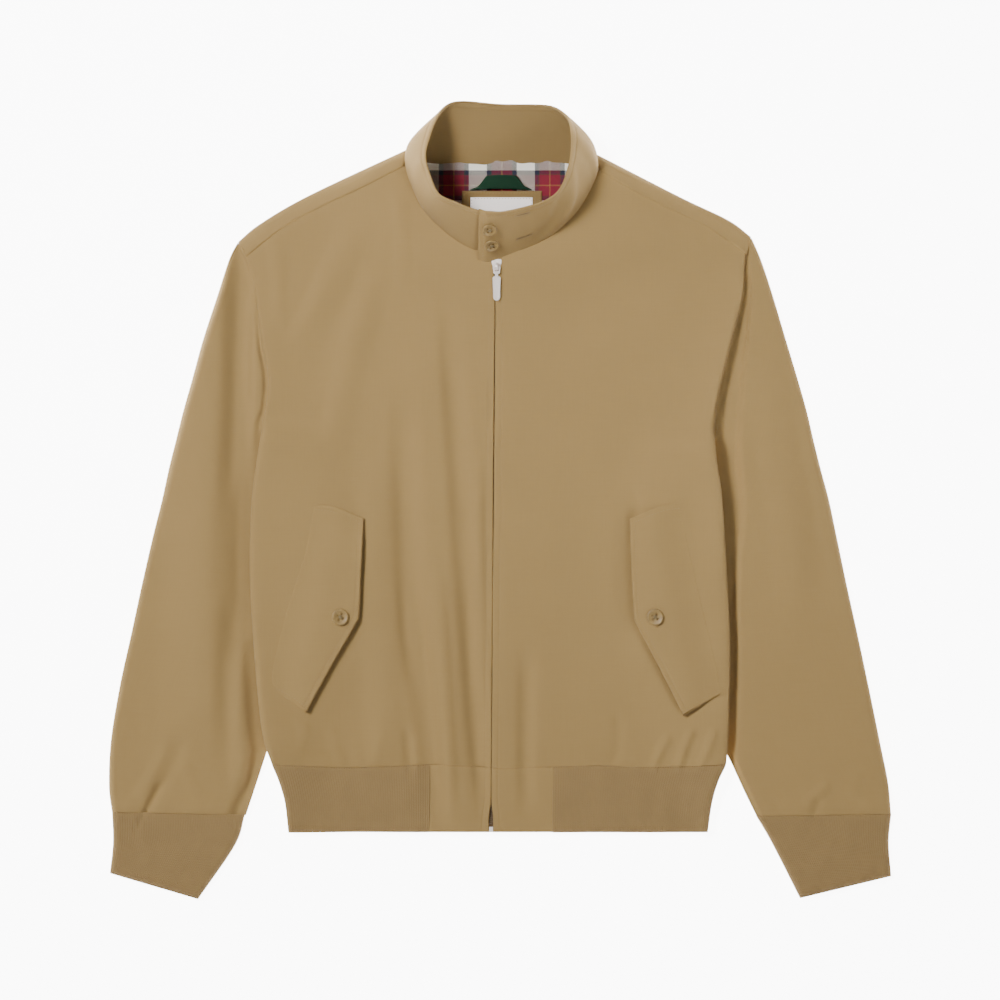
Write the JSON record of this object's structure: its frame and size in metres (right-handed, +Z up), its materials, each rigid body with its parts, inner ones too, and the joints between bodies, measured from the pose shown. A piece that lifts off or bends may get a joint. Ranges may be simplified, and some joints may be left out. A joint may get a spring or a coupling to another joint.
{
  "type": "harrington jacket",
  "caption": "Short zip-front jacket laid flat on its back, with a stand collar buttoned by a tab, slanted pocket flaps, and rib-knit waistband and cuffs.",
  "frame": {"origin": "middle of the laid-out jacket's box, on the surface that its back lies on", "axes": "+X to the wearer's left arm, +Y from the hem to the collar, +Z up from the surface, out of the front"},
  "size_m": [0.782, 0.798, 0.0614],
  "materials": {
    "sand_poplin": "matt, plain-woven cotton poplin",
    "sand_rib": "matt, fine rib knit",
    "tartan": "matt, soft woven check",
    "white_label": "smooth woven tape, blank",
    "green_tape": "matt twill tape",
    "zip_tape_cloth": "matt woven tape",
    "horn_button": "satin, horn-like resin",
    "nickel": "polished nickel plate"
  },
  "bodies": {
    "jacket": {"back": "sand_poplin", "back_neck_lining": "tartan", "collar": "sand_poplin", "collar_button_lower": "horn_button", "collar_button_upper": "horn_button", "cuff_rib_left": "sand_rib", "cuff_rib_right": "sand_rib", "flap_button_left": "horn_button", "flap_button_right": "horn_button", "front_left": "sand_poplin", "front_right": "sand_poplin", "hanger_loop": "green_tape", "neck_label": "white_label", "neck_patch": "sand_poplin", "pocket_flap_left": "sand_poplin", "pocket_flap_right": "sand_poplin", "sleeve_left": "sand_poplin", "sleeve_right": "sand_poplin", "waist_rib": "sand_rib", "waistband_end_left": "sand_poplin", "waistband_end_right": "sand_poplin", "zip_bottom_box": "nickel", "zip_slider": "nickel", "zip_tape": "zip_tape_cloth"},
    "pull": {"zip_pull": "nickel"}
  },
  "joints": [
    {"name": "pull_hinge", "type": "hinge", "parent": "jacket", "child": "pull", "pos_m": [-0.00337, 0.233, 0.02039], "axis": [-1, 0, 0], "range_deg": [0, 120]}
  ]
}
